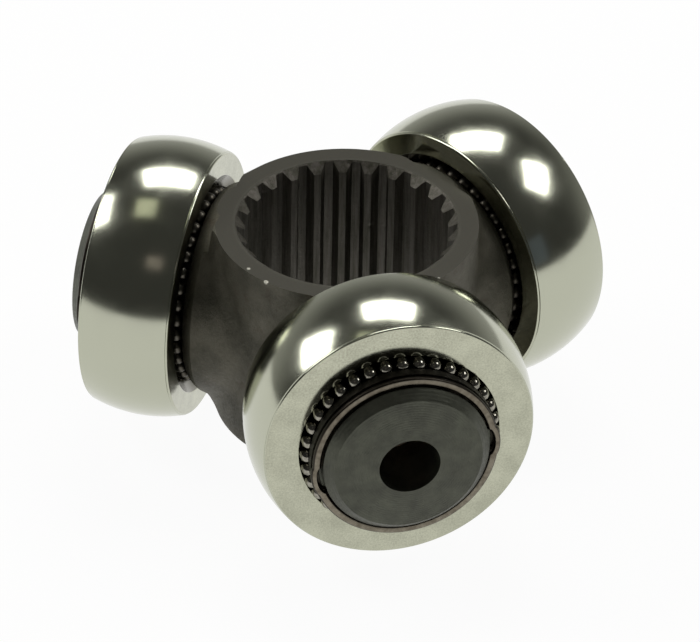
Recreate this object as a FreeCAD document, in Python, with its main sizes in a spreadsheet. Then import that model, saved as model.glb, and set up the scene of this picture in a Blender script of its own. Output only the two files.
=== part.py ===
import FreeCAD, Part
import math
import os
import re

import Sketcher

# Tripod joint of a drive shaft: a splined spider with three trunnions, each carrying
# a spherical roller on a full complement of needles, held by a washer and a spring ring.
# Frame: the hub bore runs along Z, the trunnion axes meet at the origin in the plane Z = 0,
# and the front trunnion points along -Y. All sizes are millimetres, all angles degrees.

doc = FreeCAD.newDocument("TripodJoint")
sheet = doc.addObject("Spreadsheet::Sheet", "Sizes")

DRIVING = {
    # hub
    "HubRadius": 16.15,
    "HubHalfHeight": 13.0,
    "RimBevelReach": 2.0,
    "RimBevelDrop": 1.0,
    # spline in the hub bore
    "SplineTeeth": 25,
    "SplineMinorRadius": 12.5,
    "SplineMajorRadius": 13.5,
    "SplineBevelRadius": 13.65,
    "SplineFlankAngle": 30,
    "SplineTurnAngle": 3.1,
    # trunnion boss and journal; the shoulder stands above the hub barrel
    "BossRadius": 13.2,
    "BossRound": 3.0,
    "BossRoundLength": 2.1,
    "BossTurningStep": 0.2,
    "BossBlend": 3.0,
    "ShoulderRise": 1.15,
    "ShoulderRadius": 12.0,
    "LipRadius": 10.2,
    "LipWidth": 0.2,
    "EndBevel": 1.1,
    "EndCrownHeight": 0.65,
    "CentreHoleRadius": 3.75,
    "CentreHoleDepth": 9.0,
    "DrillPointAngle": 118,
    # needles
    "NeedleCount": 36,
    "NeedleRadius": 1.0,
    "NeedleLength": 11.8,
    "NeedleSideGap": 0.02,
    "NeedleRunningGap": 0.02,
    # roller, and how far each one stands from the middle of its needles
    "RollerRadius": 17.5,
    "RollerWidth": 11.5,
    "RollerBoreBevel": 1.15,
    "FrontRollerSlide": -1.25,
    "RightRollerSlide": -0.35,
    "LeftRollerSlide": 0.25,
    # retainer washer and spring ring
    "WasherThickness": 1.05,
    "WasherRadius": 11.5,
    "WasherBoreGap": 0.05,
    "RingThickness": 0.75,
    "RingRadius": 11.35,
    "RingBoreRadius": 9.7,
    "RingFloorGap": 0.2,
    "RingEarTip": 11.85,
    "RingEarRadius": 4.4,
    "RingEarWall": 0.75,
    "FrontRingAngle": 3,
    "RightRingAngle": 3,
    "LeftRingAngle": 3,
    "RingEarAngle": 188,
    "EndGap": 0.05,
    # how far a cutting outline runs past the surface it cuts
    "CutOvershoot": 1.0,
}

# Sizes that follow from the driving ones: what fits together shares one value here
DERIVED = {
    "SplinePitchRadius": "(SplineMinorRadius + SplineMajorRadius) / 2",
    "SpaceMouthRadius": "SplineMinorRadius - CutOvershoot",
    "SplineBevelFloor": "HubHalfHeight - SplineBevelRadius + SpaceMouthRadius",
    "SpaceHalfPitch": "SplinePitchRadius * pi / (2 * SplineTeeth)",
    "SpaceHalfMouth": "SpaceHalfPitch + (SplinePitchRadius - SpaceMouthRadius)"
                      " * tan(SplineFlankAngle * 1deg)",
    "SpaceHalfRoot": "SpaceHalfPitch - (SplineMajorRadius - SplinePitchRadius)"
                     " * tan(SplineFlankAngle * 1deg)",
    "ThroughLength": "4 * HubHalfHeight",
    "ShoulderReach": "HubRadius + ShoulderRise",
    "BossStock": "2 * BossBlend",
    "BossEndRadius": "BossRadius + BossTurningStep",
    "JournalRoot": "HubRadius - CutOvershoot",
    "NeedlePitchRadius": "(NeedleRadius + NeedleSideGap / 2) / sin(180deg / NeedleCount)",
    "JournalRadius": "NeedlePitchRadius - NeedleRadius - NeedleRunningGap",
    "RollerBoreRadius": "NeedlePitchRadius + NeedleRadius + NeedleRunningGap",
    "NeedleStart": "ShoulderReach + EndGap",
    "NeedleMiddle": "NeedleStart + NeedleLength / 2",
    "WasherStart": "NeedleStart + NeedleLength + EndGap",
    "GrooveStart": "WasherStart + WasherThickness + EndGap",
    "RingStart": "GrooveStart + EndGap",
    "GrooveEnd": "RingStart + RingThickness + EndGap",
    "GrooveRadius": "RingBoreRadius - RingFloorGap",
    "EndFaceRadius": "LipRadius - EndBevel",
    "EndFaceReach": "GrooveEnd + LipWidth + EndBevel",
    "TrunnionReach": "EndFaceReach + EndCrownHeight",
    "EndCrownRadius": "(EndFaceRadius ^ 2 + EndCrownHeight ^ 2) / (2 * EndCrownHeight)",
    "FrontRollerReach": "NeedleMiddle + FrontRollerSlide",
    "RightRollerReach": "NeedleMiddle + RightRollerSlide",
    "LeftRollerReach": "NeedleMiddle + LeftRollerSlide",
    "RollerFaceRadius": "sqrt(RollerRadius ^ 2 - (RollerWidth / 2) ^ 2)",
    "DrillPointLength": "CentreHoleRadius / tan(DrillPointAngle / 2 * 1deg)",
}

# Azimuth of each trunnion about Z, and half the angle from one trunnion to the next
TRUNNION_ANGLES = {"front": -90.0, "right": 30.0, "left": 150.0}
BETWEEN_ANGLE = 180 / len(TRUNNION_ANGLES)

# Two points closer than this count as one
SAME_PLACE = 0.001


def fill_sheet():
    row = 1
    for alias, number in DRIVING.items():
        sheet.set(f"A{row}", alias)
        sheet.set(f"B{row}", str(number))
        sheet.setAlias(f"B{row}", alias)
        row += 1
    for alias, formula in DERIVED.items():
        sheet.set(f"A{row}", alias)
        sheet.set(f"B{row}", "=" + formula)
        sheet.setAlias(f"B{row}", alias)
        row += 1
    doc.recompute()


def linked(formula):
    # every capitalised word in a formula is an alias of the sheet
    return re.sub(r"\b[A-Z]\w+", r"Sizes.\g<0>", formula)


def bind(thing, prop, formula):
    thing.setExpression(prop, linked(formula))


def value(formula):
    return float(sheet.evalExpression(linked(formula)))


def new_body(name):
    body = doc.addObject("PartDesign::Body", name)
    body.Label = name
    body.AllowCompound = True
    return body


def new_sketch(body, name, role):
    sketch = body.newObject("Sketcher::SketchObject", name)
    planes = [feature for feature in body.Origin.OriginFeatures if feature.Role == role]
    sketch.AttachmentSupport = (planes[0], [""])
    sketch.MapMode = "FlatFace"
    return sketch


def shift(sketch, lift, turn):
    # moves a sketch along its plane's normal and turns it in its own plane
    angle = value(turn)
    sketch.AttachmentOffset = FreeCAD.Placement(
        FreeCAD.Vector(0, 0, value(lift)), FreeCAD.Rotation(FreeCAD.Vector(0, 0, 1), angle))
    bind(sketch, "AttachmentOffset.Base.z", lift)
    if angle:
        bind(sketch, "AttachmentOffset.Rotation.Angle", turn)


def outline(sketch, corners, arcs=None):
    # closed outline through corners, each a pair of formulas; arcs gives, for the side
    # that starts at a corner, its radius formula and whether it runs clockwise
    arcs = arcs or {}
    points = [FreeCAD.Vector(value(across), value(along), 0) for across, along in corners]
    for index, start in enumerate(points):
        end = points[(index + 1) % len(points)]
        if index in arcs:
            sketch.addGeometry(arc_side(start, end, *arcs[index]))
        else:
            sketch.addGeometry(Part.LineSegment(start, end))
    for index, (across, along) in enumerate(corners):
        here = start_point(arcs, index)
        before = (index - 1) % len(corners)
        sketch.addConstraint(
            Sketcher.Constraint("Coincident", before, 3 - start_point(arcs, before), index, here))
        for kind, formula in (("DistanceX", across), ("DistanceY", along)):
            number = sketch.addConstraint(
                Sketcher.Constraint(kind, -1, 1, index, here, value(formula)))
            bind(sketch, f"Constraints[{number}]", formula)
    for index, (radius, clockwise) in arcs.items():
        number = sketch.addConstraint(Sketcher.Constraint("Radius", index, value(radius)))
        bind(sketch, f"Constraints[{number}]", radius)


def start_point(arcs, index):
    # a sketch arc always runs anticlockwise, so a clockwise side starts at its end point
    return 2 if index in arcs and arcs[index][1] else 1


def arc_side(start, end, radius, clockwise):
    first, last = (end, start) if clockwise else (start, end)
    chord = last - first
    middle = (first + last) * 0.5
    left = FreeCAD.Vector(-chord.y, chord.x, 0).normalize()
    rise = math.sqrt(max(value(radius) ** 2 - (chord.Length / 2) ** 2, 0))
    centre = middle + left * rise
    circle = Part.Circle(centre, FreeCAD.Vector(0, 0, 1), value(radius))
    return Part.ArcOfCircle(circle, circle.parameter(first), circle.parameter(last))


def disc(sketch, across, radius):
    # circle centred on the sketch's first axis
    centre = FreeCAD.Vector(value(across), 0, 0)
    index = sketch.addGeometry(Part.Circle(centre, FreeCAD.Vector(0, 0, 1), value(radius)))
    for kind, formula, ends in (("DistanceX", across, (-1, 1, index, 3)), ("Radius", radius, (index,))):
        number = sketch.addConstraint(Sketcher.Constraint(kind, *ends, value(formula)))
        bind(sketch, f"Constraints[{number}]", formula)
    sketch.addConstraint(Sketcher.Constraint("PointOnObject", index, 3, -1))


def turned(body, kind, name, sketch, axis):
    feature = body.newObject(f"PartDesign::{kind}", name)
    feature.Profile = sketch
    feature.ReferenceAxis = (sketch, [axis])
    feature.Angle = 360
    doc.recompute()
    return feature


def pushed(body, kind, name, sketch, length, both_sides=False, backwards=False):
    feature = body.newObject(f"PartDesign::{kind}", name)
    feature.Profile = sketch
    bind(feature, "Length", length)
    feature.SideType = "Symmetric" if both_sides else "One side"
    feature.Reversed = backwards
    doc.recompute()
    return feature


def polar(body, name, originals, axis_role, count):
    pattern = body.newObject("PartDesign::PolarPattern", name)
    axes = [feature for feature in body.Origin.OriginFeatures if feature.Role == axis_role]
    pattern.Originals = originals
    pattern.Axis = (axes[0], [""])
    pattern.Angle = 360
    bind(pattern, "Occurrences", count)
    body.Tip = pattern
    doc.recompute()
    return pattern


def mirrored_in_z(body, name, original):
    mirror = body.newObject("PartDesign::Mirrored", name)
    planes = [feature for feature in body.Origin.OriginFeatures if feature.Role == "XY_Plane"]
    mirror.Originals = [original]
    mirror.MirrorPlane = (planes[0], [""])
    body.Tip = mirror
    doc.recompute()
    return mirror


def boss_seams(shape):
    # edges where a boss meets the hub cylinder: every point lies at the hub radius from Z
    # and at the boss radius from the axis of one trunnion
    hub_radius = value("HubRadius")
    boss_radius = value("BossRadius")
    ways = []
    for azimuth in TRUNNION_ANGLES.values():
        turn = math.radians(azimuth - TRUNNION_ANGLES["front"])
        ways.append(FreeCAD.Vector(math.cos(turn), math.sin(turn), 0))
    names = []
    for number, edge in enumerate(shape.Edges, 1):
        length = edge.LastParameter - edge.FirstParameter
        samples = [edge.valueAt(edge.FirstParameter + share * length) for share in (0.2, 0.5, 0.8)]
        if any(abs(math.hypot(p.x, p.y) - hub_radius) > SAME_PLACE for p in samples):
            continue
        for way in ways:
            on_boss = all(abs(p.cross(way).Length - boss_radius) < SAME_PLACE for p in samples)
            if on_boss and samples[0].dot(way) > 0:
                names.append(f"Edge{number}")
    return names


def spider_hub():
    # forged in one piece: barrel, three bosses with journals, then turned, drilled and splined
    body = new_body("spider_hub")
    body.Placement = FreeCAD.Placement(
        FreeCAD.Vector(), FreeCAD.Rotation(FreeCAD.Vector(0, 0, 1), TRUNNION_ANGLES["front"]))

    # the forging stands above its turned faces until the ends are faced; the start of its
    # round outline lies between two trunnions, clear of the blends
    blank = new_sketch(body, "BlankOutline", "XY_Plane")
    shift(blank, "0", str(BETWEEN_ANGLE))
    disc(blank, "0", "HubRadius")
    pushed(body, "Pad", "Blank", blank, "2 * (HubHalfHeight + BossBlend + RimBevelReach)", both_sides=True)

    boss = new_sketch(body, "BossOutline", "XZ_Plane")
    outline(boss, [
        ("0", "0"),
        ("ShoulderReach + BossStock", "0"),
        ("ShoulderReach + BossStock", "BossRadius"),
        ("0", "BossRadius"),
    ])
    first_boss = turned(body, "Revolution", "Boss", boss, "H_Axis")
    bosses = polar(body, "Bosses", [first_boss], "Z_Axis", str(len(TRUNNION_ANGLES)))

    blend = body.newObject("PartDesign::Fillet", "BossBlends")
    blend.Base = (bosses, boss_seams(bosses.Shape))
    bind(blend, "Radius", "BossBlend")
    doc.recompute()

    # the boss ends are turned to a flat shoulder with a rounded rim, clear of the roller
    turning = new_sketch(body, "BossTurningOutline", "XZ_Plane")
    outline(turning, [
        ("ShoulderReach", "0"),
        ("ShoulderReach + BossStock + CutOvershoot", "0"),
        ("ShoulderReach + BossStock + CutOvershoot", "BossEndRadius + BossStock"),
        ("ShoulderReach - BossRoundLength", "BossEndRadius + BossStock"),
        ("ShoulderReach - BossRoundLength", "BossEndRadius"),
        ("ShoulderReach", "ShoulderRadius"),
    ], arcs={4: ("BossRound", True)})
    first_end = turned(body, "Groove", "BossEnd", turning, "H_Axis")
    polar(body, "BossEnds", [first_end], "Z_Axis", str(len(TRUNNION_ANGLES)))

    journal = new_sketch(body, "JournalOutline", "XZ_Plane")
    outline(journal, [
        ("JournalRoot", "0"),
        ("TrunnionReach", "0"),
        ("EndFaceReach", "EndFaceRadius"),
        ("GrooveEnd + LipWidth", "LipRadius"),
        ("GrooveEnd", "LipRadius"),
        ("GrooveEnd", "GrooveRadius"),
        ("GrooveStart", "GrooveRadius"),
        ("GrooveStart", "JournalRadius"),
        ("JournalRoot", "JournalRadius"),
    ], arcs={1: ("EndCrownRadius", False)})
    first_journal = turned(body, "Revolution", "Journal", journal, "H_Axis")
    polar(body, "Journals", [first_journal], "Z_Axis", str(len(TRUNNION_ANGLES)))

    # facing an end also turns its rim bevel and the bevel at the mouth of the spline
    facing = new_sketch(body, "FacingOutline", "XZ_Plane")
    outline(facing, [
        ("0", "SplineBevelFloor"),
        ("SpaceMouthRadius", "SplineBevelFloor"),
        ("SplineBevelRadius", "HubHalfHeight"),
        ("HubRadius", "HubHalfHeight"),
        ("HubRadius + RimBevelReach", "HubHalfHeight - RimBevelDrop"),
        ("TrunnionReach + CutOvershoot", "HubHalfHeight - RimBevelDrop"),
        ("TrunnionReach + CutOvershoot", "2 * HubHalfHeight"),
        ("0", "2 * HubHalfHeight"),
    ])
    top_face = turned(body, "Groove", "TopFacing", facing, "V_Axis")
    mirrored_in_z(body, "BottomFacing", top_face)

    bore = new_sketch(body, "BoreOutline", "XY_Plane")
    disc(bore, "0", "SplineMinorRadius")
    pushed(body, "Pocket", "Bore", bore, "ThroughLength", both_sides=True)

    space = new_sketch(body, "SplineSpaceOutline", "XY_Plane")
    shift(space, "0", "SplineTurnAngle")
    outline(space, [
        ("SpaceMouthRadius", "-SpaceHalfMouth"),
        ("SplineMajorRadius", "-SpaceHalfRoot"),
        ("SplineMajorRadius", "SpaceHalfRoot"),
        ("SpaceMouthRadius", "SpaceHalfMouth"),
    ])
    first_space = pushed(body, "Pocket", "SplineSpace", space, "ThroughLength", both_sides=True)
    polar(body, "SplineSpaces", [first_space], "Z_Axis", "SplineTeeth")

    drill = new_sketch(body, "CentreHoleOutline", "XZ_Plane")
    outline(drill, [
        ("TrunnionReach + CutOvershoot", "0"),
        ("TrunnionReach + CutOvershoot", "CentreHoleRadius"),
        ("TrunnionReach - CentreHoleDepth", "CentreHoleRadius"),
        ("TrunnionReach - CentreHoleDepth - DrillPointLength", "0"),
    ])
    first_hole = turned(body, "Groove", "CentreHole", drill, "H_Axis")
    polar(body, "CentreHoles", [first_hole], "Z_Axis", str(len(TRUNNION_ANGLES)))
    return body


def carried(side, piece):
    # body for one piece of a trunnion, drawn along X and turned to its trunnion's azimuth
    body = new_body(f"{side}_{piece}")
    body.Placement = FreeCAD.Placement(
        FreeCAD.Vector(), FreeCAD.Rotation(FreeCAD.Vector(0, 0, 1), TRUNNION_ANGLES[side]))
    return body


def roller(side):
    # spherical band with flat faces and bevelled bore edges
    body = carried(side, "roller")
    reach = f"{side.capitalize()}RollerReach"
    inner = f"{reach} - RollerWidth / 2"
    outer = f"{reach} + RollerWidth / 2"
    section = new_sketch(body, f"{side}_roller_section", "XZ_Plane")
    outline(section, [
        (inner, "RollerBoreRadius + RollerBoreBevel"),
        (f"{inner} + RollerBoreBevel", "RollerBoreRadius"),
        (f"{outer} - RollerBoreBevel", "RollerBoreRadius"),
        (outer, "RollerBoreRadius + RollerBoreBevel"),
        (outer, "RollerFaceRadius"),
        (inner, "RollerFaceRadius"),
    ], arcs={4: ("RollerRadius", False)})
    turned(body, "Revolution", f"{side}_roller_band", section, "H_Axis")
    return body


def needle_rollers(side):
    # full complement: one needle beside the next all round the journal
    body = carried(side, "needle_rollers")
    section = new_sketch(body, f"{side}_needle_outline", "YZ_Plane")
    disc(section, "NeedlePitchRadius", "NeedleRadius")
    shift(section, "NeedleStart", "0")
    needle = pushed(body, "Pad", f"{side}_needle", section, "NeedleLength")
    polar(body, f"{side}_needles", [needle], "X_Axis", "NeedleCount")
    return body


def retainer_washer(side):
    # plain washer that covers the inner half of the needle ends
    body = carried(side, "retainer_washer")
    section = new_sketch(body, f"{side}_washer_section", "XZ_Plane")
    outline(section, [
        ("WasherStart", "JournalRadius + WasherBoreGap"),
        ("WasherStart + WasherThickness", "JournalRadius + WasherBoreGap"),
        ("WasherStart + WasherThickness", "WasherRadius"),
        ("WasherStart", "WasherRadius"),
    ])
    turned(body, "Revolution", f"{side}_washer_band", section, "H_Axis")
    return body


def snap_ring(side):
    # flat spring ring whose two ears let it stretch over the trunnion lip
    body = carried(side, "snap_ring")

    def face_sketch(name, angle="0"):
        sketch = new_sketch(body, f"{side}_{name}", "YZ_Plane")
        shift(sketch, "RingStart", angle)
        return sketch

    first_ear = f"{side.capitalize()}RingAngle"
    angles = {"first": first_ear, "second": f"{first_ear} + RingEarAngle"}
    band = face_sketch("ring_outline")
    disc(band, "0", "RingRadius")
    pushed(body, "Pad", f"{side}_ring_band", band, "RingThickness")
    for ear, angle in angles.items():
        lobe = face_sketch(f"{ear}_ear_outline", angle)
        disc(lobe, "RingEarTip - RingEarRadius", "RingEarRadius")
        pushed(body, "Pad", f"{side}_{ear}_ear", lobe, "RingThickness")
    hole = face_sketch("ring_bore_outline")
    disc(hole, "0", "RingBoreRadius")
    pushed(body, "Pocket", f"{side}_ring_bore", hole, "RingThickness", backwards=True)
    for ear, angle in angles.items():
        eye = face_sketch(f"{ear}_eye_outline", angle)
        disc(eye, "RingEarTip - RingEarRadius", "RingEarRadius - RingEarWall")
        pushed(body, "Pocket", f"{side}_{ear}_eye", eye, "RingThickness", backwards=True)
    return body


def check_document(bodies):
    doc.recompute()
    for thing in doc.Objects:
        if "Invalid" in thing.State or "Error" in thing.State:
            raise RuntimeError(f"{thing.Name} failed: {thing.State}")
    for body in bodies:
        if body.Shape.isNull() or not body.Shape.isValid():
            raise RuntimeError(f"{body.Label} has no valid shape")


def write_parts(bodies):
    os.makedirs("parts", exist_ok=True)
    for body in bodies:
        body.Shape.exportStep(f"parts/{body.Label}.step")
        solids = body.Shape.Solids
        print(body.Label, len(solids), "solid(s),", round(body.Shape.Volume, 1), "mm3")


fill_sheet()
bodies = [spider_hub()]
for side in TRUNNION_ANGLES:
    bodies += [roller(side), needle_rollers(side), retainer_washer(side), snap_ring(side)]
check_document(bodies)
write_parts(bodies)
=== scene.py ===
import math

import bpy
import numpy as np
from mathutils import Matrix, Vector


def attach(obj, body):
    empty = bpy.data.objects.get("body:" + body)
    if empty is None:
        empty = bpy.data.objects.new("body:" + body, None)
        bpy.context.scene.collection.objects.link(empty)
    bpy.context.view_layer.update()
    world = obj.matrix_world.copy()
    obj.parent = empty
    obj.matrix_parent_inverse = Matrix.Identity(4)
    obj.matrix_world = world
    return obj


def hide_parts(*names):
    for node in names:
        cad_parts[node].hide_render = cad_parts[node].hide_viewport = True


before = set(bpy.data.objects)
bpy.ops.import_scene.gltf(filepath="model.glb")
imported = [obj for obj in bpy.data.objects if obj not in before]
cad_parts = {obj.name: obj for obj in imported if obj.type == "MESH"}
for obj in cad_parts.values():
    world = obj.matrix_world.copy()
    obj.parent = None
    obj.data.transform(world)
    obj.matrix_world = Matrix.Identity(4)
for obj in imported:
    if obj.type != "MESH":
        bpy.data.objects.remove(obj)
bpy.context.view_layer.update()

# Tripod joint of a drive shaft on a white sheet: phosphated spider, polished spherical
# rollers, needle bearings, oiled retainer washers and tempered spring rings.
# Lengths in the dictionaries of pieces and finishes are millimetres, angles are degrees.

mm = 0.001
trunnionAngle = {"front": -90.0, "right": 30.0, "left": 150.0}


def trunnionWay(side):
    angle = math.radians(trunnionAngle[side])
    return np.array([math.cos(angle), math.sin(angle), 0.0])


def trunnionFrame(side):
    # the trunnion's axis, and two ways square to it that count the turn from one side upwards
    axis, up = trunnionWay(side), np.array([0.0, 0.0, 1.0])
    return axis, np.cross(up, axis), up


def makeMesh(name, points, quads, smoothAngle=35.0, extraFaces=()):
    # points is an n by 3 array in millimetres, quads an m by 4 array of their numbers
    mesh = bpy.data.meshes.new(name)
    mesh.from_pydata((points * mm).tolist(), [], quads.tolist() + list(extraFaces))
    mesh.polygons.foreach_set("use_smooth", np.ones(len(mesh.polygons), dtype=bool))
    mesh.set_sharp_from_angle(angle=math.radians(smoothAngle))
    mesh.validate()
    piece = bpy.data.objects.new(name, mesh)
    bpy.context.collection.objects.link(piece)
    return piece


def roundedProfile(corners, steps=5, holdOff=1.15):
    # Outline through corners (along, radius, rounding): a corner with a rounding becomes a
    # quadratic curve that starts and ends that far from it, with one more point just outside
    # each end, so that the flats stay flat
    corners = np.array(corners, dtype=float)
    share = np.linspace(0, 1, steps + 1)[:, None]
    outline = []
    for number in range(len(corners)):
        here, size = corners[number, :2], corners[number, 2]
        back = corners[number - 1, :2] - here
        onward = corners[(number + 1) % len(corners), :2] - here
        back, onward = back / np.linalg.norm(back), onward / np.linalg.norm(onward)
        first, last = here + back * size, here + onward * size
        curve = (1 - share) ** 2 * first + 2 * share * (1 - share) * here + share ** 2 * last
        before, after = here + back * size * holdOff, here + onward * size * holdOff
        outline += [before[None, :], curve, after[None, :]]
    return np.concatenate(outline)


def turnedRing(name, side, along, radius):
    # A closed outline carried once round the trunnion axis: point = along * axis
    # + radius * (cos turn * across + sin turn * up). along has one value for each outline
    # point, and radius one for each turn and outline point
    axis, across, up = trunnionFrame(side)
    around, count = radius.shape
    turn = np.linspace(0, 2 * np.pi, around, endpoint=False)
    spoke = np.cos(turn)[:, None] * across + np.sin(turn)[:, None] * up
    points = along[None, :, None] * axis + radius[:, :, None] * spoke[:, None, :]
    ring, step = np.meshgrid(np.arange(around), np.arange(count), indexing="ij")
    ring2, step2 = (ring + 1) % around, (step + 1) % count
    corners = [ring * count + step, ring * count + step2,
               ring2 * count + step2, ring2 * count + step]
    quads = np.stack(corners, -1)
    return makeMesh(name, points.reshape(-1, 3), quads.reshape(-1, 4))


def colourOf(code):
    # sRGB hex to linear
    linear = []
    for place in (1, 3, 5):
        part = int(code[place:place + 2], 16) / 255
        linear.append(part / 12.92 if part <= 0.04045 else ((part + 0.055) / 1.055) ** 2.4)
    return linear + [1.0]


def addNode(tree, kind, *inputs, **settings):
    # adds one node. inputs go to its sockets in order: a value, a hex colour, a socket, a node
    # for its first output, or None to leave one alone. settings are properties or named sockets
    node = tree.nodes.new("ShaderNode" + kind)
    for key, setting in settings.items():
        if key not in node.inputs:
            setattr(node, key, setting)
    pairs = list(zip([socket for socket in node.inputs if socket.enabled], inputs))
    pairs += [(node.inputs[key], settings[key]) for key in settings if key in node.inputs]
    for socket, source in pairs:
        if isinstance(source, bpy.types.Node):
            source = next(output for output in source.outputs if output.enabled)
        if isinstance(source, bpy.types.NodeSocket):
            tree.links.new(source, socket)
        elif source is not None:
            socket.default_value = colourOf(source) if isinstance(source, str) else source
    return node


def startMaterial(name):
    material = bpy.data.materials.new(name)
    material.use_nodes = True
    material.node_tree.nodes.clear()
    return material, material.node_tree


def alongTrunnion(tree, way, sides):
    # how far a place or a normal reaches along the nearest of these trunnions
    along = None
    for side in sides:
        reach = addNode(tree, "VectorMath", way, tuple(trunnionWay(side)), operation="DOT_PRODUCT")
        along = reach if along is None else addNode(tree, "Math", along, reach, operation="MAXIMUM")
    return along


def fromTrunnion(tree, place, along):
    # distance from that trunnion's axis, the root of place^2 - along^2
    square = addNode(tree, "VectorMath", place, place, operation="DOT_PRODUCT")
    alongSquare = addNode(tree, "Math", along, along, operation="MULTIPLY")
    away = addNode(tree, "Math", square, alongSquare, operation="SUBTRACT")
    away = addNode(tree, "Math", away, 0.0, operation="MAXIMUM")
    return addNode(tree, "Math", away, 0.5, operation="POWER")


forging = {
    "flank": "#625f53", "flankDark": "#454338", "faced": "#403e34", "facedDark": "#312f27",
    "turnedEnd": "#585a4e", "turnedDark": "#45463d", "splineWall": "#66625a",
    "rust": "#45362a", "rustMost": 0.55, "hole": "#c4ab98", "chip": "#c9c7b8",
    # where each kind of surface is: radii from the hub's axis, and places on a trunnion
    "rimRadius": 16.6, "boreRadius": 14.0, "endFrom": 27.0, "holeFrom": 20.0, "holeRadius": 3.72,
    "upright": (0.93, 0.97),  # upward share of the normal, from the flank to the faced rim
    # patterns: size, detail, harshness, and the noise values where each starts and is full
    "patterns": {
        "grain": (0.35, 6.0, 0.7, 0.35, 0.65),
        "blotch": (4.5, 3.0, 0.55, 0.32, 0.66),
        "rust": (3.2, 2.0, 0.55, 0.60, 0.78),
        "streak": (0.5, 3.0, 0.6, 0.35, 0.65),
        "patch": (2.2, 5.0, 0.55, 0.3, 0.7),
        "pitted": (6.0, 1.0, 0.55, 0.5, 0.6),
        "worn": (1.4, 3.0, 0.55, 0.4, 0.62),
    },
    "streakStretch": 0.06,  # streaks run up the spline's walls
    # roughness over this spread of the grain, less a polish on what is machined or knocked
    "roughSpread": (0.3, 0.7), "roughness": (0.42, 0.66), "polish": -0.10, "chipPolish": 2.5,
    "metallic": 0.62, "holeMetallic": 0.1,
    # pits and turning rings, in shares of the bump's height
    "pitMm": 2.6, "pitRim": 0.26, "pitDepth": -1.4, "ringPitchMm": 0.33, "ringHeight": (0.015, 0.1),
    "bumpStrength": 0.55, "bumpMm": 0.16,
    # nicks on the top rim: azimuth, radius and size, their height, and how far they fade
    "nicks": ((-153.0, 15.6, 0.13), (-140.7, 16.1, 0.22), (-60.0, 16.1, 0.14)),
    "nickHeight": 12.95, "nickFade": (0.10, 0.26), "nickRagged": 0.25,
}


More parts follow.
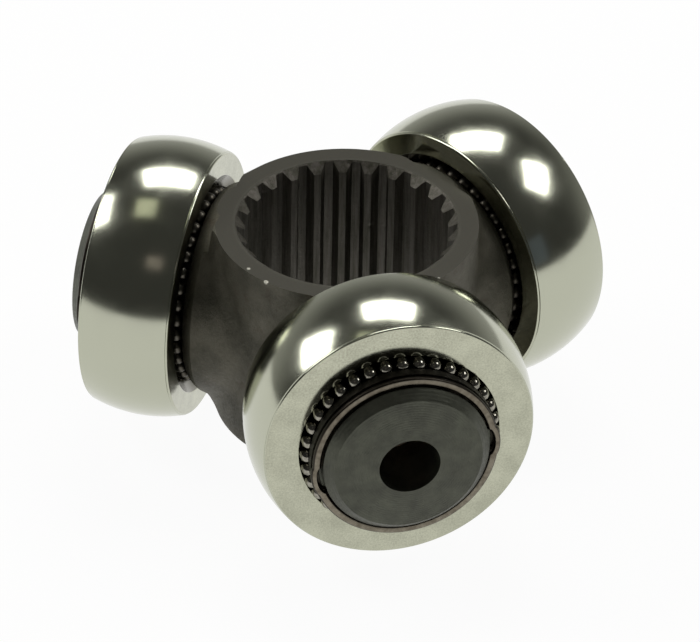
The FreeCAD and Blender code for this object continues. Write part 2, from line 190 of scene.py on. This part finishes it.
def phosphatedForging():
    # drop-forged steel, shot-blasted and zinc phosphated: dark, matt and grainy, with machined
    # faces that took a lighter, finer coat
    finish = forging
    material, tree = startMaterial("phosphatedForging")
    coords = addNode(tree, "TexCoord").outputs
    place = coords["Object"]
    coord = addNode(tree, "SeparateXYZ", place)
    flat = addNode(tree, "CombineXYZ", coord.outputs[0], coord.outputs[1])
    radius = addNode(tree, "VectorMath", flat, operation="LENGTH")
    normal = addNode(tree, "SeparateXYZ", coords["Normal"])
    upright = addNode(tree, "Math", normal.outputs[2], operation="ABSOLUTE")
    along = alongTrunnion(tree, place, trunnionAngle)
    away = fromTrunnion(tree, place, along)

    # masks: faced rim, spline bore, trunnion end, and the centre hole in it
    rim = addNode(tree, "Math", radius, finish["rimRadius"] * mm, operation="LESS_THAN")
    level = addNode(tree, "MapRange", upright, *finish["upright"], 0.0, 1.0)
    faced = addNode(tree, "Math", level, rim, operation="MULTIPLY")
    notFaced = addNode(tree, "Math", 1.0, faced, operation="SUBTRACT")
    bore = addNode(tree, "Math", radius, finish["boreRadius"] * mm, operation="LESS_THAN")
    wall = addNode(tree, "Math", bore, notFaced, operation="MULTIPLY")
    ended = addNode(tree, "Math", along, finish["endFrom"] * mm, operation="GREATER_THAN")
    narrow = addNode(tree, "Math", away, finish["holeRadius"] * mm, operation="LESS_THAN")
    deep = addNode(tree, "Math", along, finish["holeFrom"] * mm, operation="GREATER_THAN")
    hole = addNode(tree, "Math", narrow, deep, operation="MULTIPLY")

    # each pattern as its noise, and as a share from 0 to 1
    drawn = addNode(tree, "Mapping", place, Scale=(1.0, 1.0, finish["streakStretch"]))
    noise, share = {}, {}
    for name, (size, detail, harshness, start, full) in finish["patterns"].items():
        spot = drawn if name == "streak" else place
        noise[name] = addNode(tree, "TexNoise", spot, 1 / (size * mm), detail, harshness)
        share[name] = addNode(tree, "MapRange", noise[name], start, full, 0.0, 1.0)

    # colours: the rusted black skin, and over it each kind of machined surface
    colour = addNode(tree, "Mix", share["blotch"], finish["flankDark"], finish["flank"],
                     data_type="RGBA")
    rusty = addNode(tree, "Math", share["rust"], finish["rustMost"], operation="MULTIPLY")
    colour = addNode(tree, "Mix", rusty, colour, finish["rust"], data_type="RGBA")
    for mask, spread, dark, light in (
        (faced, "grain", "facedDark", "faced"),
        (wall, "streak", "flankDark", "splineWall"),
        (ended, "patch", "turnedDark", "turnedEnd"),
    ):
        coat = addNode(tree, "Mix", share[spread], finish[dark], finish[light], data_type="RGBA")
        colour = addNode(tree, "Mix", mask, colour, coat, data_type="RGBA")
    colour = addNode(tree, "Mix", hole, colour, finish["hole"], data_type="RGBA")

    # bright chips where the top rim was knocked
    chipped = 0.0
    fadeFrom, fadeTo = finish["nickFade"]
    for azimuth, reach, size in finish["nicks"]:
        angle = math.radians(azimuth)
        spot = np.array([reach * math.cos(angle), reach * math.sin(angle), finish["nickHeight"]])
        gap = addNode(tree, "VectorMath", place, tuple(spot * mm), operation="DISTANCE")
        ragged = addNode(tree, "Math", noise["grain"], finish["nickRagged"] * mm, gap,
                         operation="MULTIPLY_ADD")
        mark = addNode(tree, "MapRange", ragged, (size + fadeFrom) * mm, (size + fadeTo) * mm,
                       1.0, 0.0)
        chipped = addNode(tree, "Math", chipped, mark, operation="MAXIMUM")
    colour = addNode(tree, "Mix", chipped, colour, finish["chip"], data_type="RGBA")

    # roughness: blasted skin matt, spline and turned ends smoother, chips smoothest
    rough = addNode(tree, "MapRange", noise["grain"], *finish["roughSpread"], *finish["roughness"])
    smoother = addNode(tree, "Math", bore, ended, operation="ADD")
    smoother = addNode(tree, "Math", chipped, finish["chipPolish"], smoother,
                       operation="MULTIPLY_ADD")
    rough = addNode(tree, "Math", smoother, finish["polish"], rough, operation="MULTIPLY_ADD")
    metal = addNode(tree, "MapRange", hole, 0.0, 1.0, finish["metallic"], finish["holeMetallic"])

    # blast grain and forging pits on the black skin, turning rings on the trunnion ends
    cells = addNode(tree, "TexVoronoi", place, 1 / (finish["pitMm"] * mm))
    pits = addNode(tree, "MapRange", cells, 0.0, finish["pitRim"], finish["pitDepth"], 0.0,
                   interpolation_type="SMOOTHSTEP")
    skin = addNode(tree, "Math", pits, share["pitted"], noise["grain"], operation="MULTIPLY_ADD")
    notEnded = addNode(tree, "Math", 1.0, ended, operation="SUBTRACT")
    black = addNode(tree, "Math", notEnded, notFaced, operation="MULTIPLY")
    skin = addNode(tree, "Math", skin, black, operation="MULTIPLY")
    ringTurn = 2 * math.pi / (finish["ringPitchMm"] * mm)
    turns = addNode(tree, "Math", away, ringTurn, operation="MULTIPLY")
    turns = addNode(tree, "Math", turns, operation="SINE")
    ringHeight = addNode(tree, "MapRange", share["worn"], 0.0, 1.0, *finish["ringHeight"])
    turns = addNode(tree, "Math", turns, ringHeight, operation="MULTIPLY")
    height = addNode(tree, "Math", turns, ended, skin, operation="MULTIPLY_ADD")
    bump = addNode(tree, "Bump", Strength=finish["bumpStrength"], Distance=finish["bumpMm"] * mm,
                   Height=height)
    shader = addNode(tree, "BsdfPrincipled", colour, metal, rough, Normal=bump)
    addNode(tree, "OutputMaterial", shader)
    return material


rollerFinish = {
    "sphere": "#b5b7a5", "ground": "#b9baa6", "groundDark": "#a1a290", "bore": "#77756a",
    # grinding grain and handling scuffs: size, detail and harshness, and the sum of the two
    # noises from which the face turns pale
    "grind": (0.25, 3.0, 0.6), "scuff": (3.0, 5.0, 0.6), "groundSpread": (0.75, 1.2),
    # roughness of the sphere and of the faces, and the spread of the scuffs that it goes with
    "polished": (0.15, 0.20), "polishedSpread": (0.4, 0.75),
    "lapped": (0.09, 0.15), "lappedSpread": (0.35, 0.7),
    "faceHalfWidth": 5.70, "faceRadius": 16.6, "boreRadius": 13.78,
    "bumpStrength": 0.10, "bumpMm": 0.02,
}


def bearingSteel(side, middle):
    # through-hardened bearing steel: superfinished sphere, and flat faces ground and lapped
    # until they mirror the trunnion's end
    finish = rollerFinish
    material, tree = startMaterial(f"bearingSteel_{side}")
    place = addNode(tree, "TexCoord").outputs["Object"]
    along = alongTrunnion(tree, place, (side,))
    away = fromTrunnion(tree, place, along)
    offset = addNode(tree, "Math", along, middle * mm, operation="SUBTRACT")
    offset = addNode(tree, "Math", offset, operation="ABSOLUTE")
    outer = addNode(tree, "Math", offset, finish["faceHalfWidth"] * mm, operation="GREATER_THAN")
    inside = addNode(tree, "Math", away, finish["faceRadius"] * mm, operation="LESS_THAN")
    face = addNode(tree, "Math", outer, inside, operation="MULTIPLY")
    bore = addNode(tree, "Math", away, finish["boreRadius"] * mm, operation="LESS_THAN")
    bore = addNode(tree, "Math", bore, face, operation="SUBTRACT", use_clamp=True)
    noise = {}
    for name in ("grind", "scuff"):
        size, detail, harshness = finish[name]
        noise[name] = addNode(tree, "TexNoise", place, 1 / (size * mm), detail, harshness)
    both = addNode(tree, "Math", noise["grind"], noise["scuff"], operation="ADD")
    groundShare = addNode(tree, "MapRange", both, *finish["groundSpread"], 0.0, 1.0)
    ground = addNode(tree, "Mix", groundShare, finish["groundDark"], finish["ground"],
                     data_type="RGBA")
    colour = addNode(tree, "Mix", face, finish["sphere"], ground, data_type="RGBA")
    colour = addNode(tree, "Mix", bore, colour, finish["bore"], data_type="RGBA")
    roughness = [
        addNode(tree, "MapRange", noise["scuff"], *finish[name + "Spread"], *finish[name])
        for name in ("polished", "lapped")
    ]
    rough = addNode(tree, "Mix", face, *roughness)
    height = addNode(tree, "Math", face, both, operation="MULTIPLY")
    bump = addNode(tree, "Bump", Strength=finish["bumpStrength"], Distance=finish["bumpMm"] * mm,
                   Height=height)
    shader = addNode(tree, "BsdfPrincipled", colour, 1.0, rough, Normal=bump)
    addNode(tree, "OutputMaterial", shader)
    return material


needleFinish = {
    "body": "#98958a", "darkTone": "#3a362e",
    # smears of grease: size, detail and harshness, the noise values that they fill, their most
    "smear": (0.5, 3.0, 0.55), "spread": (0.42, 0.68), "grease": 0.5,
    # darker towards the hub end: this share of the dark tone, fading out between these distances
    # from the hub's axis
    "hubEndDark": 0.95, "darkUpTo": 17.6, "plainFrom": 19.2, "roughness": (0.14, 0.42),
}


def needleSteel():
    # ground needles in a film of dark grease, and darker still towards the hub end: bright where
    #     they catch light
    finish = needleFinish
    material, tree = startMaterial("greasedNeedleSteel")
    place = addNode(tree, "TexCoord").outputs["Object"]
    size, detail, harshness = finish["smear"]
    smears = addNode(tree, "TexNoise", place, 1 / (size * mm), detail, harshness)
    filmAndHubEnd = addNode(tree, "MapRange", smears, *finish["spread"], 0.0, finish["grease"])
    # darker towards the hub end, whichever is more of this and the grease smears
    along = alongTrunnion(tree, place, trunnionAngle)
    hubEndDark = addNode(tree, "MapRange", along, finish["darkUpTo"] * mm, finish["plainFrom"] * mm,
                     finish["hubEndDark"], 0.0)
    filmAndHubEnd = addNode(tree, "Math", filmAndHubEnd, hubEndDark, operation="MAXIMUM")
    colour = addNode(tree, "Mix", filmAndHubEnd, finish["body"], finish["darkTone"], data_type="RGBA")
    rough = addNode(tree, "MapRange", filmAndHubEnd, 0.0, finish["hubEndDark"], *finish["roughness"])
    addNode(tree, "OutputMaterial", addNode(tree, "BsdfPrincipled", colour, 1.0, rough))
    return material


washerFinish = {
    "face": "#3b382f", "dark": "#24221c",
    # oil spots: size, detail and harshness, and the noise values that they fill
    "spots": (0.8, 4.0, 0.55), "spread": (0.35, 0.65),
    "roughness": (0.36, 0.5), "metallic": 0.8, "bumpStrength": 0.3, "bumpMm": 0.02,
}


def oiledWasherSteel():
    # punched and tumbled washer, blackened and oiled
    finish = washerFinish
    material, tree = startMaterial("oiledWasherSteel")
    place = addNode(tree, "TexCoord").outputs["Object"]
    size, detail, harshness = finish["spots"]
    spots = addNode(tree, "TexNoise", place, 1 / (size * mm), detail, harshness)
    share = addNode(tree, "MapRange", spots, *finish["spread"], 0.0, 1.0)
    colour = addNode(tree, "Mix", share, finish["dark"], finish["face"], data_type="RGBA")
    rough = addNode(tree, "MapRange", spots, *finish["spread"], *finish["roughness"])
    bump = addNode(tree, "Bump", Strength=finish["bumpStrength"], Distance=finish["bumpMm"] * mm,
                   Height=spots)
    shader = addNode(tree, "BsdfPrincipled", colour, finish["metallic"], rough, Normal=bump)
    addNode(tree, "OutputMaterial", shader)
    return material


ringFinish = {
    # edge is painted shade: a dark colour where the ring's surface turns away from the trunnion's
    # axis
    "face": "#8a8374", "dark": "#655e51", "edge": "#2b261f",
    # temper colours: size, detail and harshness, and the noise values that they fill
    "temper": (0.9, 5.0, 0.55), "spread": (0.35, 0.65),
    "facing": (0.80, 0.97),  # the normal's share along the trunnion, from edge to face
    "roughness": (0.3, 0.46), "metallic": 0.85, "bumpStrength": 0.3, "bumpMm": 0.02,
}


def temperedSpringSteel():
    # flat spring wire, tempered grey-brown on its faces, with painted shade on its rolled edges
    finish = ringFinish
    material, tree = startMaterial("temperedSpringSteel")
    coords = addNode(tree, "TexCoord").outputs
    facing = alongTrunnion(tree, coords["Normal"], trunnionAngle)
    size, detail, harshness = finish["temper"]
    spots = addNode(tree, "TexNoise", coords["Object"], 1 / (size * mm), detail, harshness)
    share = addNode(tree, "MapRange", spots, *finish["spread"], 0.0, 1.0)
    colour = addNode(tree, "Mix", share, finish["dark"], finish["face"], data_type="RGBA")
    # painted shade: sides and corners turn dark as the normal turns away from the trunnion's axis
    edge = addNode(tree, "MapRange", facing, *finish["facing"], 1.0, 0.0)
    colour = addNode(tree, "Mix", edge, colour, finish["edge"], data_type="RGBA")
    rough = addNode(tree, "MapRange", spots, *finish["spread"], *finish["roughness"])
    bump = addNode(tree, "Bump", Strength=finish["bumpStrength"], Distance=finish["bumpMm"] * mm,
                   Height=spots)
    shader = addNode(tree, "BsdfPrincipled", colour, finish["metallic"], rough, Normal=bump)
    addNode(tree, "OutputMaterial", shader)
    return material


rollerSizes = {
    "radius": 17.5, "width": 11.5, "bore": 12.31, "edgeRound": 0.22, "boreRound": 0.08,
    "hubBevel": 1.45,  # the bore opens towards the hub, so that the roller clears the boss
    "arcClear": 1.3,  # the arc ends this many edge roundings inside each face
    "arcSteps": 40, "around": 288,
    "middle": {"front": 22.0, "right": 22.9, "left": 23.5},
}


def sphericalRoller(side):
    # outline: bore and flat faces as straight lines with rounded edges, and the outer side as
    # the arc radius(along) = sqrt(R^2 - (along - middle)^2)
    sizes = rollerSizes
    middle, half = sizes["middle"][side], sizes["width"] / 2
    bore, bevel = sizes["bore"], sizes["hubBevel"]
    rim = math.sqrt(sizes["radius"] ** 2 - half ** 2)
    corners = roundedProfile([
        (middle + half, rim, sizes["edgeRound"]),
        (middle + half, bore, sizes["boreRound"]),
        (middle - half + bevel, bore, sizes["boreRound"]),
        (middle - half, bore + bevel, sizes["boreRound"]),
        (middle - half, rim, sizes["edgeRound"]),
    ])
    edge = half - sizes["edgeRound"] * sizes["arcClear"]
    arc = np.linspace(-edge, edge, sizes["arcSteps"])
    sphere = np.stack([middle + arc, np.sqrt(sizes["radius"] ** 2 - arc ** 2)], -1)
    outline = np.concatenate([corners, sphere])
    radius = np.tile(outline[:, 1], (sizes["around"], 1))
    piece = turnedRing(f"{side}RollerFine", side, outline[:, 0], radius)
    piece.data.materials.append(bearingSteel(side, middle))
    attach(piece, f"{side}_roller")
    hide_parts(f"{side}_roller")


for side in trunnionAngle:
    sphericalRoller(side)
print("rollers made")

needleSizes = {
    "count": 36, "radius": 0.86, "circle": 11.44, "start": 17.35, "length": 11.8, "sides": 12,
    "endAngles": (20.0, 45.0, 70.0, 90.0), "smoothAngle": 50.0,
}


def needleSet(side, material):
    # one needle is a profile of radius along its length, carried round its own axis; the set
    # is that needle turned about the trunnion in equal steps. Each end is half a ball:
    # along = r (1 - cos a), radius = r sin a
    sizes = needleSizes
    count, sides = sizes["count"], sizes["sides"]
    angles = np.radians(sizes["endAngles"])
    dome, width = sizes["radius"] * (1 - np.cos(angles)), sizes["radius"] * np.sin(angles)
    along = sizes["start"] + np.concatenate([dome, sizes["length"] - dome[::-1]])
    radius = np.concatenate([width, width[::-1]])
    bands = len(along)
    axis, across, up = trunnionFrame(side)
    spin = np.linspace(0, 2 * np.pi, sides, endpoint=False)
    place = np.linspace(0, 2 * np.pi, count, endpoint=False)
    out = np.cos(place)[:, None] * across + np.sin(place)[:, None] * up
    tangent = -np.sin(place)[:, None] * across + np.cos(place)[:, None] * up
    ring = (np.cos(spin)[None, :, None] * out[:, None, :]
            + np.sin(spin)[None, :, None] * tangent[:, None, :])
    points = (along[None, :, None, None] * axis + sizes["circle"] * out[:, None, None, :]
              + radius[None, :, None, None] * ring[:, None, :, :])
    grid = np.meshgrid(np.arange(count), np.arange(bands - 1), np.arange(sides), indexing="ij")
    needle, band, step = grid
    base = (needle * bands + band) * sides
    step2 = (step + 1) % sides
    quads = np.stack([base + step, base + step2, base + sides + step2, base + sides + step], -1)
    first = np.arange(count)[:, None] * bands * sides
    turnBack, turn = np.arange(sides - 1, -1, -1), np.arange(sides)
    caps = (first + turnBack).tolist() + (first + (bands - 1) * sides + turn).tolist()
    piece = makeMesh(f"{side}NeedlesFine", points.reshape(-1, 3), quads.reshape(-1, 4),
                     sizes["smoothAngle"], caps)
    piece.data.materials.append(material)
    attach(piece, f"{side}_needles")
    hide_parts(f"{side}_needle_rollers")


needleMaterial = needleSteel()
for side in trunnionAngle:
    needleSet(side, needleMaterial)
print("needles made")

ringSizes = {
    "around": 720, "ears": (3.0, 191.0), "earHalfAngle": 10.5, "earFullness": 0.6,
    # section once round: along the trunnion, radius, and how far the ears lift that point
    "section": (
        (30.35, 9.75, 1.15), (30.35, 11.15, 0.30), (30.40, 11.27, 0.30), (30.50, 11.35, 0.30),
        (30.62, 11.38, 0.30), (30.83, 11.38, 0.30), (30.95, 11.35, 0.30), (31.05, 11.27, 0.30),
        (31.10, 11.17, 0.30), (31.10, 10.66, 0.40), (31.06, 10.54, 0.50), (30.98, 10.46, 0.56),
        (30.72, 10.30, 0.72), (30.55, 9.75, 1.15),
    ),
}


def snapRing(side, material):
    # the section is carried round the trunnion, and its radius grows by lift * bump(turn),
    # bump = (1 - (turn from the ear / half angle)^2)^fullness inside an ear and 0 elsewhere
    sizes = ringSizes
    section = np.array(sizes["section"])
    turn = np.linspace(0, 360, sizes["around"], endpoint=False)
    bump = np.zeros(sizes["around"])
    for ear in sizes["ears"]:
        fromEar = (turn - ear + 180) % 360 - 180
        bump += np.clip(1 - (fromEar / sizes["earHalfAngle"]) ** 2, 0, 1) ** sizes["earFullness"]
    radius = section[None, :, 1] + bump[:, None] * section[None, :, 2]
    piece = turnedRing(f"{side}SnapRingFine", side, section[::-1, 0], radius[:, ::-1])
    piece.data.materials.append(material)
    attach(piece, "spider")
    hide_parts(f"{side}_snap_ring")


ringMaterial = temperedSpringSteel()
for side in trunnionAngle:
    snapRing(side, ringMaterial)
print("snap rings made")


def dress(node, material):
    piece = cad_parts[node]
    if not piece.material_slots:
        piece.data.materials.append(material)
    for slot in piece.material_slots:
        slot.material = material


dress("spider_hub", phosphatedForging())
washerMaterial = oiledWasherSteel()
for side in trunnionAngle:
    dress(f"{side}_retainer_washer", washerMaterial)
print("hub and washers dressed")

# lengths of the stage are metres
stage = {
    "floorSize": 1.6, "floorHeight": -0.0175, "floorColour": "#fafaf7", "whiteShare": 0.95,
    "roomColour": (1.0, 1.0, 0.97, 1.0), "room": 0.055,
    # glow of the wall behind: strength, azimuth, height where it ends, and how it narrows
    "backGlow": 0.34, "backAzimuth": 76.0, "glowTop": 0.62, "glowSpread": (-0.1, 0.75),
    # soft boxes: azimuth, elevation, distance, width, height, radiance, colour
    "softboxes": {
        "backSoftbox": (76.0, 57.0, 0.55, 0.28, 0.18, 8.0, "#ffffff"),
        "leftSoftbox": (149.0, 38.0, 0.55, 0.21, 0.21, 8.0, "#ffffff"),
        "rightSoftbox": (1.0, 47.0, 0.55, 0.22, 0.16, 8.0, "#ffffff"),
        "highWindow": (155.0, 75.0, 0.55, 0.15, 0.14, 0.9, "#f4f6dc"),
        "frontWindow": (-116.0, 45.0, 0.55, 0.12, 0.09, 0.35, "#f2e2dc"),
        "sideWindow": (-50.0, 14.0, 0.55, 0.13, 0.2, 0.11, "#b8cfee"),
    },
}


def whiteSheet():
    size, height = stage["floorSize"] / 2, stage["floorHeight"]
    mesh = bpy.data.meshes.new("whiteSheet")
    corners = [(x * size, y * size, height) for x, y in ((-1, -1), (1, -1), (1, 1), (-1, 1))]
    mesh.from_pydata(corners, [], [(0, 1, 2, 3)])
    floor = bpy.data.objects.new("whiteSheet", mesh)
    bpy.context.collection.objects.link(floor)
    # matt coated paper: what is seen or mirrored is nearly white, the light it throws its own
    material, tree = startMaterial("mattPaper")
    paper = addNode(tree, "BsdfDiffuse", stage["floorColour"])
    white = addNode(tree, "Emission", "#ffffff", 1.0)
    rays = addNode(tree, "LightPath").outputs
    seen = addNode(tree, "Math", rays["Is Camera Ray"], rays["Is Glossy Ray"], operation="MAXIMUM")
    seen = addNode(tree, "Math", seen, rays["Is Transmission Ray"], operation="MAXIMUM")
    share = addNode(tree, "Math", seen, stage["whiteShare"], operation="MULTIPLY")
    addNode(tree, "OutputMaterial", addNode(tree, "MixShader", share, paper, white))
    mesh.materials.append(material)


def skyWay(azimuth, elevation):
    angle, rise = math.radians(azimuth), math.radians(elevation)
    flat = math.cos(rise)
    return Vector((math.cos(angle) * flat, math.sin(angle) * flat, math.sin(rise)))


def softbox(name, azimuth, elevation, distance, width, height, radiance, colour):
    lamp = bpy.data.lights.new(name, "AREA")
    lamp.shape = "RECTANGLE"
    lamp.size, lamp.size_y = width, height
    lamp.energy = radiance * math.pi * width * height
    lamp.color = colourOf(colour)[:3]
    box = bpy.data.objects.new(name, lamp)
    bpy.context.collection.objects.link(box)
    way = skyWay(azimuth, elevation)
    box.location = way * distance
    box.rotation_euler = way.to_track_quat("Z", "Y").to_euler()


def room():
    # dim room that is paler low down behind the object, as a wall near the table is
    world = bpy.data.worlds.new("dimRoom")
    bpy.context.scene.world = world
    world.use_nodes = True
    tree = world.node_tree
    tree.nodes.clear()
    way = addNode(tree, "TexCoord").outputs["Generated"]
    back = tuple(skyWay(stage["backAzimuth"], 0))
    towards = addNode(tree, "VectorMath", way, back, operation="DOT_PRODUCT")
    rise = addNode(tree, "SeparateXYZ", way).outputs[2]
    low = addNode(tree, "MapRange", rise, 0.0, stage["glowTop"], 1.0, 0.0,
                  interpolation_type="SMOOTHSTEP")
    behind = addNode(tree, "MapRange", towards, *stage["glowSpread"], 0.0, 1.0,
                     interpolation_type="SMOOTHSTEP")
    glow = addNode(tree, "Math", behind, low, operation="MULTIPLY")
    level = addNode(tree, "Math", glow, stage["backGlow"], stage["room"], operation="MULTIPLY_ADD")
    addNode(tree, "OutputWorld", addNode(tree, "Background", stage["roomColour"], level))


# distances are metres, and the focal length and shifts are pixels of the photograph
shot = {
    "azimuth": 14.119, "elevation": 35.413, "roll": 1.066, "distance": 0.70415,
    "focalPixels": 5706.2, "shiftPixels": (-4.78, -11.96), "imageWidth": 700,
    "sensorWidth": 36, "clip": (0.01, 10),
}


def photoCamera():
    # camera solved from the outlines of the rollers and the hub in the photograph
    rise, roll, turn = (math.radians(shot[key]) for key in ("elevation", "roll", "azimuth"))
    place = Vector((0, -math.cos(rise), math.sin(rise))) * shot["distance"]
    ahead = -place.normalized()
    right = Vector((1, 0, 0))
    up = right.cross(ahead)
    level, tilt = math.cos(roll), math.sin(roll)
    right, up = right * level + up * tilt, up * level - right * tilt
    around = Matrix.Rotation(-turn, 3, "Z")
    place, right, up, ahead = (around @ vector for vector in (place, right, up, ahead))
    camera = bpy.data.cameras.new("photoCamera")
    camera.sensor_width = shot["sensorWidth"]
    camera.lens = shot["focalPixels"] / shot["imageWidth"] * camera.sensor_width
    camera.shift_x = -shot["shiftPixels"][0] / shot["imageWidth"]
    camera.shift_y = shot["shiftPixels"][1] / shot["imageWidth"]
    camera.clip_start, camera.clip_end = shot["clip"]
    viewer = bpy.data.objects.new("photoCamera", camera)
    bpy.context.collection.objects.link(viewer)
    turned = Matrix((right, up, -ahead)).transposed().to_4x4()
    viewer.matrix_world = Matrix.Translation(place) @ turned
    bpy.context.scene.camera = viewer


whiteSheet()
for name, values in stage["softboxes"].items():
    softbox(name, *values)
room()
photoCamera()
bpy.context.scene.view_settings.view_transform = "Standard"
print("stage, light and camera set")
